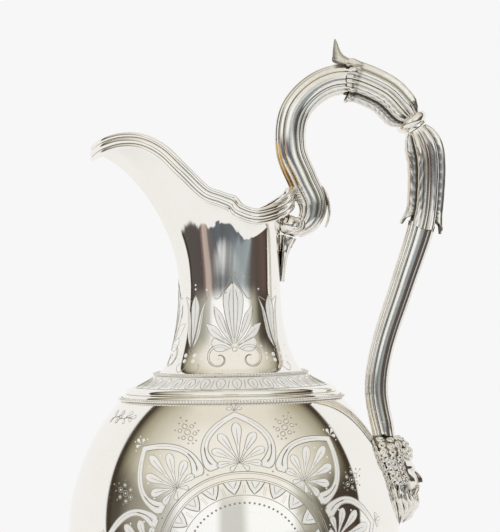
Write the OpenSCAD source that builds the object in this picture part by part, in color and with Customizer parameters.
// Claret jug: an open ewer with a long spout lip, a reeded scroll handle and a domed foot.
// The origin is on the axis of the body, on the plane that the foot stands on.
// +Z is up, the spout points along -X and the handle stands at +X. Lengths are millimetres.

/* [Body] */
// Widest radius of the body
body_r = 62.7; // [60:0.1:66]
// Rise of the shoulder's ellipse above the widest point
shoulder_rise = 71.8; // [69:0.1:75]
// Drop of the bowl's curve below the widest point
bowl_drop = 94; // [90:1:98]
// Radius of the flat seat under the bowl
bowl_seat_r = 13.5; // [12:0.5:15]
// Radius at which the shoulder ends, under the collar
mouth_r = 36.6; // [35:0.1:38]
// Thickness of the raised sheet
wall = 1.1; // [0.9:0.1:1.4]
// Film of solder between pieces that are joined
solder = 0.1; // [0.05:0.05:0.2]

/* [Shoulder mouldings] */
// Width of the bright ring's seat, measured outwards along the shoulder's radius
ring_w = 2.4; // [1.8:0.1:3]
// Height of the bright ring's bulge above the shoulder
ring_bulge = 1.2; // [0.8:0.1:1.6]
// Width of the lower fillet's seat
fillet_w = 1.3; // [1:0.1:1.8]
// Height of the lower fillet above the shoulder
fillet_h = 0.5; // [0.4:0.1:0.8]
// Radius of the beaded wires at the shoulder and the neck
bead_r = 0.65; // [0.5:0.05:0.8]
// Rise of the coved collar from the shoulder to the neck
collar_rise = 4.2; // [3.6:0.1:5]
// Hollow of the collar's cove
collar_cove = 0.4; // [0.2:0.1:0.7]

/* [Neck and spout] */
// Outside radius of the neck's foot, on the collar
neck_foot_r = 28.4; // [27.4:0.1:29.4]
// Outside radius of the neck at its waist
neck_waist_r = 19.2; // [18:0.1:20.4]
// Height of the waist above the neck's foot
neck_waist_rise = 33.4; // [30:0.1:36]
// Lowest height of the lip above the waist, beside the handle
lip_low_rise = 25.6; // [24:0.1:28]
// Height of the spout's crest above the lip's lowest place
crest_rise = 29.2; // [26:0.1:32]
// Reach of the spout's tip from the axis, to the middle of the moulding
spout_reach = 50; // [46:0.5:54]
// Half width of the lip at the round back lobe
back_lobe_y = 23.2; // [22:0.1:24.5]
// Half width of the lip at the front lobe
front_lobe_y = 23.4; // [22:0.1:25]
// Reach of the lip towards the handle
lip_back_x = 24; // [23:0.1:25]
// Width of the reeded moulding up and down
rim_h = 6; // [5.2:0.1:6.6]
// Thickness of the reeded moulding
rim_t = 2.8; // [2.4:0.1:3.4]

/* [Handle] */
// Rise of the handle's crown above the lip beside it
crown_rise = 51.8; // [49:0.1:54]
// Reach of the handle's bow beyond the widest radius of the body
bow_reach = 12.8; // [11:0.1:15]
// Height of the mask's crown above the widest point of the body
mask_rise = 38; // [36:0.1:40]
// Width of the upper scroll across its curve
scroll_w = 11.8; // [10.8:0.1:12.6]
// Width of the lower limb across its curve
limb_w = 9.2; // [8.4:0.1:10]
// Depth of both limbs from side to side
limb_d = 9.6; // [8.6:0.1:10.6]
// Depth of the grooves between the reeds, as a share of the section
reed_groove = 0.1; // [0.06:0.01:0.14]
// Width of the upper acanthus sheath at its mouth
upper_sheath_w = 15.4; // [14.4:0.1:16.4]
// Width of the lower acanthus sheath at its mouth
lower_sheath_w = 14.2; // [13.2:0.1:15.2]
// Radius of the ball ring between the sheaths
knop_r = 5.4; // [5:0.1:5.8]
// Thickness of the ball ring
knop_t = 3.2; // [2.8:0.1:3.6]
// Thickness of the collar ring under the ball ring
knop_collar_t = 1.6; // [1.2:0.1:2]
// Radius of the volute at the scroll's lower end
volute_r = 5; // [4.5:0.1:5.4]
// Width of the volute from side to side
volute_d = 11; // [10:0.1:12]
// Height of the curled leaf above the middle line of the crown
spur_h = 13.6; // [12:0.1:15]
// Length of the leaf on the back of the neck
drop_leaf_h = 17; // [14:0.5:19]
// Height of the mask from its crown to the tip of the beard
mask_h = 34; // [31:0.5:36]
// Half width of the mask across the hair
mask_half_w = 13; // [12:0.1:14]

/* [Foot and stem] */
// Outside radius of the foot's base ring
foot_r = 44; // [41:0.5:47]
// Height of the base ring
foot_rim_h = 5; // [4:0.1:6]
// Height of the foot, from the table to the top of its dome
foot_h = 33; // [31:0.5:36]
// Radius of the dome's top, where the stem stands
dome_top_r = 10.5; // [9.5:0.1:11.5]
// Radius of the foot's beaded wire
foot_bead_r = 1.1; // [0.8:0.1:1.3]
// Height of the stem
stem_h = 19; // [17:0.5:21]
// Least radius of the stem
stem_r = 6.2; // [5.6:0.1:7]
// Radius of the stem's knop
stem_knop_r = 11; // [10:0.1:12.5]
// Thickness of the stem's knop
stem_knop_t = 6.4; // [5.6:0.1:7.2]
// Height of the cup that carries the bowl
cup_h = 10; // [8.5:0.1:11.5]

/* [Hidden] */
$fn = 72;

silver = [0.84, 0.82, 0.77];
bright_silver = [0.9, 0.89, 0.85];
old_silver = [0.7, 0.67, 0.6];

// Powers that bend the bowl's curve: its belly, and how it draws in to the seat
bowl_belly = 0.95;
bowl_draw = 1.7;
curve_steps = 14;

// Heights, from the table up
stem_top_z = foot_h + stem_h;
cup_z = stem_top_z + solder;
cup_floor = 3.4;
bowl_seat_z = cup_z + cup_floor + solder;
bowl_end = acos(pow(bowl_seat_r / body_r, 1 / bowl_draw));
body_mid_z = bowl_seat_z + bowl_drop * pow(sin(bowl_end), bowl_belly);
mouth_z = shoulder_z(mouth_r);
collar_z = mouth_z + solder;
neck_foot_z = collar_z + collar_rise + solder;
neck_waist_z = neck_foot_z + neck_waist_rise;
lip_low_z = neck_waist_z + lip_low_rise;

// Height of the shoulder's outside at radius r
function shoulder_z(r) = body_mid_z + shoulder_rise * sqrt(1 - pow(r / body_r, 2));

// Outside radius of the body at height z, above its widest point
function shoulder_r(z) = body_r * sqrt(1 - pow((z - body_mid_z) / shoulder_rise, 2));

// A point of the shoulder at angle a, and of the bowl at angle u, moved in by inset
function shoulder_point(a, inset) =
    [(body_r - inset) * cos(a), body_mid_z + (shoulder_rise - inset) * sin(a)];
function bowl_point(u, inset) =
    [(body_r - inset) * pow(cos(u), bowl_draw),
     body_mid_z - (bowl_drop - inset) * pow(sin(u), bowl_belly)];

// The angles at which the moved-in curves reach a height
function shoulder_angle(z, inset) = asin((z - body_mid_z) / (shoulder_rise - inset));
function bowl_angle(z, inset) =
    asin(pow((body_mid_z - z) / (bowl_drop - inset), 1 / bowl_belly));

// A smooth curve through the points p, with n steps to each stretch
function between(a, b, c, d, t) =
    0.5 * (2 * b + (c - a) * t + (2 * a - 5 * b + 4 * c - d) * t * t
           + (3 * b - a - 3 * c + d) * t * t * t);
function through(p, n) = [
    for (i = [0 : len(p) - 2], k = [0 : n - 1])
        between(p[max(i - 1, 0)], p[i], p[i + 1], p[min(i + 2, len(p) - 1)], k / n),
    p[len(p) - 1]];

// A cubic curve from a to d, pulled by b and c
function pulled(a, b, c, d, t) =
    pow(1 - t, 3) * a + 3 * t * pow(1 - t, 2) * b + 3 * t * t * (1 - t) * c + pow(t, 3) * d;

function unit(v) = v / norm(v);

// A closed skin over rings of points that have the same count, with flat ends
module skin(rings) {
    count = len(rings[0]);
    last = len(rings) - 1;
    sides = [
        for (i = [0 : last - 1], j = [0 : count - 1])
            let (a = i * count + j, b = i * count + (j + 1) % count)
            each [[a, b + count, b], [a, a + count, b + count]]];
    first_end = [for (j = [0 : count - 1]) j];
    last_end = [for (j = [count - 1 : -1 : 0]) last * count + j];
    polyhedron([for (ring = rings) each ring], concat(sides, [first_end, last_end]), 8);
}

// A closed skin over rings that form a loop
module loop_skin(rings) {
    count = len(rings[0]);
    total = len(rings);
    polyhedron([for (ring = rings) each ring], [
        for (i = [0 : total - 1], j = [0 : count - 1])
            let (a = i * count + j, b = i * count + (j + 1) % count,
                 next = ((i + 1) % total) * count)
            each [[a, b, next + (j + 1) % count], [a, next + (j + 1) % count, next + j]]], 8);
}

// ---- Foot ----

dome_z = foot_rim_h + solder;
dome_foot_r = foot_r - 3.2;
dome_skirt_h = 4;
bead_seat_r = dome_foot_r + foot_bead_r + solder;

// Stepped base ring that stands on the table, open in the middle
module foot_rim() {
    ring_width = 7;
    step_h = foot_rim_h * 0.36;
    step_in = 1.1;
    color(bright_silver) rotate_extrude() {
        difference() {
            union() {
                translate([foot_r - ring_width, 0]) square([ring_width, step_h]);
                translate([foot_r - ring_width, 0])
                    square([ring_width - step_in, foot_rim_h]);
                translate([foot_r - step_in, foot_rim_h / 2 + step_h / 4])
                    circle(r = foot_rim_h / 2 - step_h / 2, $fn = 24);
            }
            translate([foot_r - ring_width, foot_rim_h]) rotate(45)
                square(step_in, center = true);
        }
    }
}

// Beaded wire in the corner between the base ring and the dome
module foot_bead_wire() {
    color(bright_silver) rotate_extrude()
        translate([bead_seat_r, dome_z + foot_bead_r]) circle(r = foot_bead_r, $fn = 24);
}

// Spun sheet dome: an upright skirt, a full curve and a hollow one up to the stem
function dome_curve(inset) = let (
    low = [dome_foot_r - inset, dome_z + dome_skirt_h],
    high = [dome_top_r - inset, foot_h],
    rise = high[1] - low[1])
    [for (k = [0 : curve_steps])
        pulled(low, low + [-2, rise * 0.62], high + [10, -rise * 0.72], high, k / curve_steps)];

module foot_dome() {
    outside = dome_curve(0);
    inside = dome_curve(wall);
    color(silver) rotate_extrude() polygon(concat(
        [[dome_foot_r - wall, dome_z], [dome_foot_r, dome_z]],
        outside,
        [[0, foot_h], [0, foot_h - wall], [dome_top_r - wall, foot_h - wall]],
        [for (k = [curve_steps - 2 : -1 : 0]) inside[k]]));
}

// ---- Stem ----

knop_z = foot_h + stem_h * 0.52;
knop_seat_half = stem_knop_t / 2;

// Turned stem with spread ends and a straight seat for the knop
module stem() {
    end_h = (stem_h - stem_knop_t) / 2;
    low_r = dome_top_r - 0.6;
    high_r = low_r - 0.8;
    steps = 6;
    seat_low = knop_z - knop_seat_half;
    seat_high = knop_z + knop_seat_half;
    foot_z = foot_h + solder;
    color(silver) rotate_extrude() polygon(concat(
        [[0, foot_z]],
        [for (k = [0 : steps]) let (t = k / steps)
            [low_r + (stem_r - low_r) * sin(90 * t), foot_z + (seat_low - foot_z) * (1 - cos(90 * t))]],
        [for (k = [0 : steps]) let (t = k / steps)
            [stem_r + (high_r - stem_r) * (1 - cos(90 * t)),
             seat_high + (stem_top_z - seat_high) * sin(90 * t)]],
        [[0, stem_top_z]]));
}

// Knop ring, slid over the stem's seat
module stem_knop() {
    color(bright_silver) rotate_extrude() difference() {
        translate([stem_knop_r - stem_knop_t / 2, knop_z]) {
            circle(d = stem_knop_t - 2 * solder, $fn = 36);
            translate([-stem_knop_r, -stem_knop_t / 2 + 1.2])
                square([stem_knop_r, stem_knop_t - 2.4]);
        }
        translate([-stem_knop_r, 0]) square([stem_knop_r + stem_r + solder, stem_top_z]);
    }
}

// Cup that the bowl stands in
module body_cup() {
    top_z = cup_z + cup_h;
    low_r = dome_top_r - 1.4;
    inside = [for (k = [0 : 5]) let (
        z = bowl_seat_z + (top_z - bowl_seat_z) * (1 - k / 5))
        bowl_point(bowl_angle(z, 0), 0) + [solder, -solder]];
    top_r = inside[0][0] + wall;
    color(silver) rotate_extrude() polygon(concat(
        [[0, cup_z], [low_r, cup_z]],
        [for (k = [1 : 6])
            pulled([low_r, cup_z], [low_r + 3.4, cup_z + 1], [top_r, top_z - cup_h * 0.6],
                   [top_r, top_z], k / 6)],
        [[inside[0][0], top_z]],
        [for (k = [1 : 5]) inside[k]],
        [[0, bowl_seat_z - solder]]));
}

// ---- Body ----

// Raised shell of the body, closed by a flat floor and open at the top
module body_shell() {
    floor_z = bowl_seat_z + wall;
    inner_end = bowl_angle(floor_z, wall);
    top = shoulder_angle(mouth_z, 0);
    inner_top = shoulder_angle(mouth_z, wall);
    n = curve_steps;
    color(silver) rotate_extrude($fn = 120) polygon(concat(
        [[0, bowl_seat_z]],
        [for (k = [n : -1 : 0]) bowl_point(bowl_end * k / n, 0)],
        [for (k = [1 : n]) shoulder_point(top * k / n, 0)],
        [for (k = [n : -1 : 1]) shoulder_point(inner_top * k / n, wall)],
        [for (k = [0 : n]) bowl_point(inner_end * k / n, wall)],
        [[0, floor_z]]));
}

// A strip seated on the shoulder between two radii, with a round back
module shoulder_strip(r_low, r_high, bulge) {
    steps = 8;
    lift = solder + 0.06;
    low = [r_low, shoulder_z(r_low) + lift];
    high = [r_high, shoulder_z(r_high) + lift];
    along = high - low;
    out = unit([-along[1], along[0]]);
    rotate_extrude($fn = 96) polygon(concat([low],
        [for (k = [1 : steps - 1]) let (a = 180 * k / steps)
            low + along * (1 - cos(a)) / 2 + out * bulge * sin(a) * sign(out[1])],
        [high]));
}

ring_low_r = mouth_r + 0.6;
ring_high_r = ring_low_r + ring_w;
fillet_low_r = ring_high_r + solder;
fillet_high_r = fillet_low_r + fillet_w;
bead_wire_r = fillet_high_r + solder + bead_r;

// Bright convex ring moulding round the top of the shoulder
module shoulder_ring() {
    color(bright_silver) shoulder_strip(ring_high_r, ring_low_r, ring_bulge);
}

// Narrow fillet below the bright ring
module shoulder_fillet() {
    color(silver) shoulder_strip(fillet_high_r, fillet_low_r, fillet_h);
}

// Wire whose upper half stands over the shoulder below the fillet
module shoulder_bead_wire() {
    slope = [shoulder_z(bead_wire_r - bead_r) - shoulder_z(bead_wire_r + bead_r), 2 * bead_r];
    away = unit(slope) * (bead_r + solder);
    color(bright_silver) rotate_extrude($fn = 96)
        translate([bead_wire_r + away[0], shoulder_z(bead_wire_r) + away[1]])
            circle(r = bead_r, $fn = 20);
}

// Coved collar that carries the neck on the shoulder
module collar_band() {
    steps = 6;
    low = [mouth_r - 0.3, collar_z];
    high = [neck_foot_r + 0.5, collar_z + collar_rise];
    land = 1.5;
    color(silver) rotate_extrude($fn = 96) polygon(concat(
        [low],
        [for (k = [1 : steps - 1])
            low + (high - low) * k / steps - [1, 2] * collar_cove * sin(180 * k / steps) / 2],
        [high, high - [land + 0.5, 0], high - [land + 0.5, 1.2], low - [land, 0]]));
}

// Small wire in the corner where the neck stands on the collar
module neck_bead_wire() {
    color(bright_silver) rotate_extrude($fn = 96)
        translate([neck_foot_r + bead_r * 0.8 + solder, neck_foot_z + bead_r])
            circle(r = bead_r, $fn = 20);
}

// ---- Neck, spout and lip ----

lip_steps = 2;
cusp_rise = 4.6;
lip_back_rise = 7;
lip_back_dip = 1.2;
// Half of the lip's middle line, from the handle round to the tip: two lobes that meet in a cusp
half_lip = through([
    [lip_back_x, 0, lip_low_z + lip_back_rise],
    [lip_back_x - 2, back_lobe_y * 0.45, lip_low_z + lip_back_rise * 0.68],
    [lip_back_x * 0.69, back_lobe_y * 0.8, lip_low_z + lip_back_rise * 0.26],
    [9.4, back_lobe_y, lip_low_z],
    [3.6, back_lobe_y, lip_low_z + 1.6],
    [0, back_lobe_y - 1.2, lip_low_z + cusp_rise],
    [-4.4, front_lobe_y - 0.8, lip_low_z + cusp_rise + 2],
    [-10.5, front_lobe_y, lip_low_z + cusp_rise + 4.6],
    [-spout_reach * 0.36, front_lobe_y * 0.97, lip_low_z + crest_rise * 0.58],
    [-spout_reach * 0.5, front_lobe_y * 0.86, lip_low_z + crest_rise * 0.83],
    [-spout_reach * 0.65, front_lobe_y * 0.73, lip_low_z + crest_rise * 0.975],
    [-spout_reach * 0.8, front_lobe_y * 0.54, lip_low_z + crest_rise],
    [-spout_reach * 0.93, front_lobe_y * 0.32, lip_low_z + crest_rise * 0.94],
    [-spout_reach, 0, lip_low_z + crest_rise * 0.86]], lip_steps);
lip = concat(half_lip,
    [for (i = [len(half_lip) - 2 : -1 : 1]) [half_lip[i][0], -half_lip[i][1], half_lip[i][2]]]);
lip_count = len(lip);

// Directions at point i of the lip: along it, level away from the neck, and up across the reeds
function lip_along(i) = unit(lip[(i + 1) % lip_count] - lip[(i + lip_count - 1) % lip_count]);
function lip_out(i) = let (along = lip_along(i)) unit([along[1], -along[0], 0]);
function lip_up(i) = cross(lip_out(i), lip_along(i));

// Outside points of one upright line of the neck, from its foot over the waist to the lip
foot_steps = 6;
flare_steps = 8;
function neck_line(i) = let (
    p = lip[i],
    side = atan2(p[1], p[0]),
    round = [cos(side), sin(side), 0],
    spout = (1 - cos(side)) / 2,
    foot = round * neck_foot_r + [0, 0, neck_foot_z],
    waist = round * neck_waist_r + [0, 0, neck_waist_z],
    rise = p[2] - neck_waist_z)
    concat(
        [for (k = [0 : foot_steps - 1])
            pulled(foot, foot - round * (neck_foot_r - neck_waist_r) * 0.55 + [0, 0, 1.9],
                   waist - [0, 0, neck_waist_rise * 0.48], waist, k / foot_steps)],
        [for (k = [0 : flare_steps])
            pulled(waist, waist + [0, 0, rise * 0.45],
                   p - round * (2.6 + 11 * spout * spout * spout)
                     - [0, 0, rise * (0.3 - 0.22 * spout * spout)], p, k / flare_steps)]);

// The same line moved in by the wall: square to the sheet, but level at the foot and the lip
function neck_inside(line, i) = [
    for (k = [0 : len(line) - 1]) let (
        step = line[min(k + 1, len(line) - 1)] - line[max(k - 1, 0)],
        round = unit([line[k][0], line[k][1], 0]),
        run = step * round,
        slant = norm([run, step[2]]))
        k == 0 ? line[k] - round * wall :
        k == len(line) - 1 ? line[k] - lip_out(i) * wall :
        line[k] - (round * step[2] - [0, 0, run]) * wall / slant];

neck_outside = [for (i = [0 : lip_count - 1]) neck_line(i)];
neck_rows = len(neck_outside[0]);

// Where the back of the neck is at height z
function neck_back_x(z) = lookup(z, [for (p = neck_outside[0]) [p[2], p[0]]]);

// Raised neck and spout, one sheet
module neck_spout() {
    color(silver) loop_skin([for (i = [0 : lip_count - 1]) let (
        line = neck_outside[i],
        inner = neck_inside(line, i))
        concat(line, [for (k = [neck_rows - 1 : -1 : 0]) inner[k]])]);
}

// Outline of the reeded moulding: out is away from the neck, up is across the reeds
reed_count = 3;
reed_sides = 4;
function rim_outline() = concat(
    [[-rim_t * 0.35, rim_h / 2], [-rim_t * 0.35, solder], [solder, solder], [solder, -rim_h / 2]],
    [for (reed = [0 : reed_count - 1], k = [0 : reed_sides - 1]) let (
        reed_h = rim_h / reed_count,
        a = 180 * k / reed_sides,
        mid = -rim_h / 2 + (reed + 0.5) * reed_h)
        [rim_t * (0.38 + 0.27 * sin(a)), mid - reed_h * 0.5 * cos(a)]]);

// Reeded moulding, bent round the whole lip
module rim_moulding() {
    outline = rim_outline();
    color(bright_silver) loop_skin([for (i = [0 : lip_count - 1])
        [for (q = outline) lip[i] + lip_out(i) * q[0] + lip_up(i) * q[1]]]);
}

// ---- Handle ----

// Top of the lip's moulding at the back, where the handle carries it, and the leaf laid on it
rim_back_z = lip_low_z + lip_back_rise;
rim_back_r = lip_back_x + rim_t * 0.65;
clasp_h = 1.4;
clasp_reach = 2;

// Places that the handle's middle line is tied to
lip_anchor = [lip_back_x, lip_low_z];
crown_anchor = [lip_back_x + 21.5, lip_low_z + crown_rise];
bow_anchor = [body_r + bow_reach, lip_low_z + crown_rise * 0.45];
mask_z = body_mid_z + mask_rise;
mask_anchor = [shoulder_r(mask_z) + limb_w / 2 + 2 * solder, mask_z];

// Middle of the lower sheath's mouth, and a place at share s of the way from it to the mask
lower_mouth = bow_anchor - [2.2, 28.3];
function limb_place(s) = lower_mouth * (1 - s) + mask_anchor * s;

// The handle's middle line, from the volute up over the crown and down to the mask
spine_steps = 6;
spine = through([
    lip_anchor + [1.4, -5.4],
    lip_anchor + [6.4, -1.7],
    lip_anchor + [8.1, 4.9],
    lip_anchor + [4.4, 13.9],
    crown_anchor + [-21.3, -26.2],
    crown_anchor + [-19.9, -12.8],
    crown_anchor + [-11.5, -3.3],
    crown_anchor,
    crown_anchor + [13.5, -5],
    bow_anchor + [-9.2, 16.6],
    bow_anchor + [-4.4, 11],
    bow_anchor,
    bow_anchor + [0, -15.5],
    lower_mouth,
    limb_place(0.28) - [3.4, 0],
    limb_place(0.57) - [6.8, 0],
    mask_anchor + [-2.8, 17],
    mask_anchor], spine_steps);

mouth_at = 7 * spine_steps;
knop_at = 10 * spine_steps;
lower_mouth_at = 13 * spine_steps;
spine_end = len(spine) - 1;

function spine_along(i) = i == spine_end ? [0, -1] :
    unit(spine[i + 1] - spine[max(i - 1, 0)]);

// A ring of points round place i of the middle line, pushed along it by slip
function spine_ring(i, w, d, outline, slip = 0) = let (
    along = spine_along(i),
    out = [-along[1], along[0]],
    mid = spine[i] + along * slip)
    [for (q = outline) let (p = mid + out * q[0] * w / 2) [p[0], q[1] * d / 2, p[1]]];

// Section of a limb: a broad reed on each side and one on each edge, with grooves between
section_sides = 16;
limb_section = [for (k = [0 : section_sides - 1]) let (
    a = -360 * k / section_sides,
    r = 1 - reed_groove * max(0, -cos(4 * a)))
    [r * cos(a), r * sin(a)]];

// Section of a sheath, with the ribs of the leaf
sheath_rib = 0.05;
ring_gap = 1.2;
sheath_sides = 20;
function sheath_section(rib) = [for (k = [0 : sheath_sides - 1]) let (
    a = -360 * k / sheath_sides,
    r = 1 + rib * cos(5 * a * 2))
    [r * cos(a), r * sin(a)]];

scroll_widths = through([0.48, 0.72, 0.92, 0.97, 0.99, 1, 1, 1] * scroll_w, spine_steps);
scroll_depths = through([0.72, 0.86, 0.96, 1, 1, 1, 1, 1] * limb_d, spine_steps);

// A place in the handle's plane beside the scroll: side is 1 outside its curve and -1 inside,
// and lift is the distance from its surface
function beside_scroll(i, side, lift) = let (along = spine_along(i))
    spine[i] + [-along[1], along[0]] * side * (scroll_widths[i] / 2 + lift);

// Upper limb of the handle, rolled to a taper at its lower end
module handle_scroll() {
    color(silver) difference() {
        skin([for (i = [0 : mouth_at]) spine_ring(i, scroll_widths[i], scroll_depths[i],
            limb_section, i == mouth_at ? -solder : 0)]);
        volute_place() cylinder(h = limb_d * 2, r = volute_r + solder, center = true);
        translate([0, 0, rim_back_z - rim_h / 2 - solder])
            cylinder(h = rim_h + clasp_h + 3 * solder, r = rim_back_r + solder);
    }
}

// A leaf-ribbed sheath between two places of the middle line. It starts and stops slip past
// them, and leaves out the rings that slip overtakes
module sheath(start, stop, widths, depths, slips) {
    ribs = sheath_section(sheath_rib);
    over = [for (slip = slips) ceil(abs(slip) / ring_gap)];
    color(silver) skin(concat(
        [spine_ring(start, widths[0], depths[0], ribs, slips[0])],
        [for (i = [start + over[0] : stop - over[1]])
            spine_ring(i, widths[i - start], depths[i - start], ribs)],
        [spine_ring(stop, widths[stop - start], depths[stop - start], ribs, -slips[1])]));
}

// Acanthus sheath on the crown of the handle
module upper_sheath() {
    widths = through([upper_sheath_w, upper_sheath_w * 0.94, upper_sheath_w * 0.86,
        knop_r * 1.7], spine_steps);
    depths = through([limb_d * 1.3, limb_d * 1.25, limb_d * 1.2, knop_r * 1.7], spine_steps);
    sheath(mouth_at, knop_at, widths, depths, [solder, knop_t / 2 + solder]);
}

// Acanthus sheath that hangs from the knop
module lower_sheath() {
    widths = through([knop_r * 1.75, lower_sheath_w * 0.88, lower_sheath_w * 0.87,
        lower_sheath_w], spine_steps);
    depths = through([knop_r * 1.75, limb_d * 1.2, limb_d * 1.2, limb_d * 1.4], spine_steps);
    sheath(knop_at, lower_mouth_at, widths, depths,
        [knop_t / 2 + knop_collar_t + 2 * solder, solder]);
}

// Lower limb, from the lower sheath in to the mask
module handle_limb() {
    widths = through([1.14, 1.04, 0.98, 0.98, 0.96] * limb_w, spine_steps);
    color(silver) skin([for (i = [lower_mouth_at : spine_end]) spine_ring(i,
        widths[i - lower_mouth_at], limb_d * 0.94, limb_section,
        i == lower_mouth_at ? solder : i == spine_end ? -solder : 0)]);
}

// Turns a piece made round Z so that it stands along the middle line at place i
module on_spine(i) {
    along = spine_along(i);
    translate([spine[i][0], 0, spine[i][1]]) rotate([0, atan2(along[0], along[1]), 0]) children();
}

// Ball ring between the sheaths
module handle_knop() {
    color(bright_silver) on_spine(knop_at) rotate_extrude() difference() {
        union() {
            translate([knop_r - knop_t / 2, 0]) circle(d = knop_t, $fn = 32);
            translate([0, -knop_t / 2]) square([knop_r - knop_t / 2, knop_t]);
        }
        translate([-knop_r, -knop_t]) square([knop_r, 2 * knop_t]);
    }
}

// Thin ring under the ball ring
module handle_knop_collar() {
    color(silver) on_spine(knop_at) translate([0, 0, knop_t / 2 + solder])
        cylinder(h = knop_collar_t, r = knop_r * 0.9);
}

// Place of the volute's own axis, which runs from side to side
volute_mid = lip_anchor + [0.8, -3.2];
module volute_place() {
    translate([volute_mid[0], 0, volute_mid[1]]) rotate([90, 0, 0]) children();
}

// Rolled end of the scroll with a button on each side, notched to sit on the neck
module volute_boss() {
    button_r = volute_r * 0.5;
    color(silver) difference() {
        volute_place() {
            cylinder(h = volute_d, r = volute_r, center = true);
            cylinder(h = volute_d + 1.6, r = button_r, center = true);
        }
        translate([0, 0, volute_mid[1] - volute_r])
            cylinder(h = 2 * volute_r, r1 = neck_back_x(volute_mid[1] - volute_r) + solder,
                     r2 = neck_back_x(volute_mid[1] + volute_r) + solder);
        translate([0, 0, rim_back_z - lip_back_dip - rim_h / 2 - solder])
            cylinder(h = volute_r, r = rim_back_r + solder);
    }
}

// A leaf that lies along places in the handle's plane: each place is [x, z, width, thickness]
module leaf(places, n = 4) {
    q = through(places, n);
    last = len(q) - 1;
    sides = 8;
    skin([for (i = [0 : last]) let (
        step = q[min(i + 1, last)] - q[max(i - 1, 0)],
        along = unit([step[0], step[1]]),
        out = [-along[1], along[0]])
        [for (k = [0 : sides - 1]) let (
            a = -360 * k / sides,
            p = [q[i][0], q[i][1]] + out * cos(a) * q[i][3] / 2)
            [p[0], sin(a) * q[i][2] / 2, p[1]]]]);
}

// Small leaf on the outside of the scroll
module scroll_leaf() {
    color(silver) leaf([
        for (place = [[17, 3, 0.8], [14, 6, 1.2], [11, 6, 1.2], [8, 2, 0.6]]) let (
            p = beside_scroll(place[0], -1, place[2] / 2 + 2 * solder))
            [p[0], p[1], place[1], place[2]]]);
}

// Leaf that lies on the lip's moulding at the back and ties it to the scroll
module rim_clasp() {
    color(bright_silver) skin([for (i = [-clasp_reach : clasp_reach]) let (
        at = (i + lip_count) % lip_count,
        taper = 1 - pow(i / (clasp_reach + 0.5), 2))
        [for (q = [[-0.35, 0], [-0.3, 0.6], [0, 1], [0.3, 0.6], [0.38, 0]])
            lip[at] + lip_out(at) * q[0] * rim_t * taper
                + lip_up(at) * (rim_h / 2 + solder + clasp_h * q[1] * taper)]]);
}

// Pendant leaf on the back of the neck, under the volute
module neck_drop_leaf() {
    top = volute_mid[1] - volute_r - 3 * solder;
    color(silver) leaf([
        for (place = [[0, 9, 4.8], [0.35, 8, 3.2], [0.7, 6, 2], [1, 3, 1.4]]) let (
            z = top - drop_leaf_h * place[0])
            [neck_back_x(z) + 3 * solder + place[2] / 2, z, place[1], place[2]]]);
}

// Curled leaf tip that stands on the crown
module spur_leaf() {
    at = crown_anchor + [-3.5, upper_sheath_w / 2 + solder];
    h = spur_h - upper_sheath_w / 2;
    color(bright_silver) leaf([
        [at[0] + 7.4, at[1] + 0.9, 8, 1.2],
        [at[0] + 4.2, at[1] + h * 0.3, 9, 2.4],
        [at[0] + 1.6, at[1] + h * 0.46, 8.4, 4],
        [at[0] + 0.1, at[1] + h * 0.72, 6, 3],
        [at[0] - 0.4, at[1] + h, 2.4, 1.2]]);
}

// ---- Mask ----

mask_cols = 18;
mask_rows = 24;

// Half width of the mask at share v of its height, from the crown down to the beard's tip
function mask_half(v) = mask_half_w * lookup(v,
    [[0, 0.55], [0.1, 0.86], [0.3, 1], [0.5, 0.94], [0.7, 0.72], [0.88, 0.4], [1, 0.12]]);

// A soft bump round the middle m, with width s
function bump(x, m, s) = exp(-pow((x - m) / s, 2));

// Height of the mask's front above the shoulder, at share u across and v down
function mask_relief(u, v) = let (
    across = u * mask_half(v),
    head = lookup(v, [[0, 8.4], [0.12, 9.8], [0.3, 7.4], [0.55, 5.6], [0.8, 3.6], [1, 0.9]]),
    round_off = sqrt(max(0, 1 - pow(abs(u), 2.6))),
    nose = 2.2 * bump(across, 0, 1.5) * bump(v, 0.5, 0.1),
    brow = 0.9 * bump(abs(across), 3.4, 3) * bump(v, 0.36, 0.05),
    sockets = -1.1 * bump(abs(across), 3.3, 1.6) * bump(v, 0.42, 0.04),
    mouth = -0.7 * bump(across, 0, 3) * bump(v, 0.625, 0.02),
    locks = 0.5 * cos(across * 80) * (1 - bump(across, 0, 6.5) * bump(v, 0.45, 0.2)))
    0.5 + head * round_off + (nose + brow + sockets + mouth + locks) * round_off;

// Bearded mask casting, hollowed at the back to the curve of the body
module handle_mask() {
    color(old_silver) skin([for (j = [0 : mask_rows]) let (
        v = j / mask_rows,
        z = mask_z - v * mask_h,
        half = mask_half(v),
        back_r = shoulder_r(z) + solder + 0.1)
        concat(
            [for (i = [0 : mask_cols]) let (
                u = 2 * i / mask_cols - 1,
                y = u * half)
                [sqrt(back_r * back_r - y * y), y, z]],
            [for (i = [mask_cols : -1 : 0]) let (
                u = 2 * i / mask_cols - 1,
                y = u * half)
                [sqrt(back_r * back_r - y * y) + mask_relief(u, v), y, z]])]);
}

foot_rim();
foot_bead_wire();
foot_dome();
stem();
stem_knop();
body_cup();
body_shell();
shoulder_bead_wire();
shoulder_fillet();
shoulder_ring();
collar_band();
neck_bead_wire();
neck_spout();
rim_moulding();
rim_clasp();
volute_boss();
handle_scroll();
scroll_leaf();
neck_drop_leaf();
spur_leaf();
upper_sheath();
handle_knop();
handle_knop_collar();
lower_sheath();
handle_limb();
handle_mask();
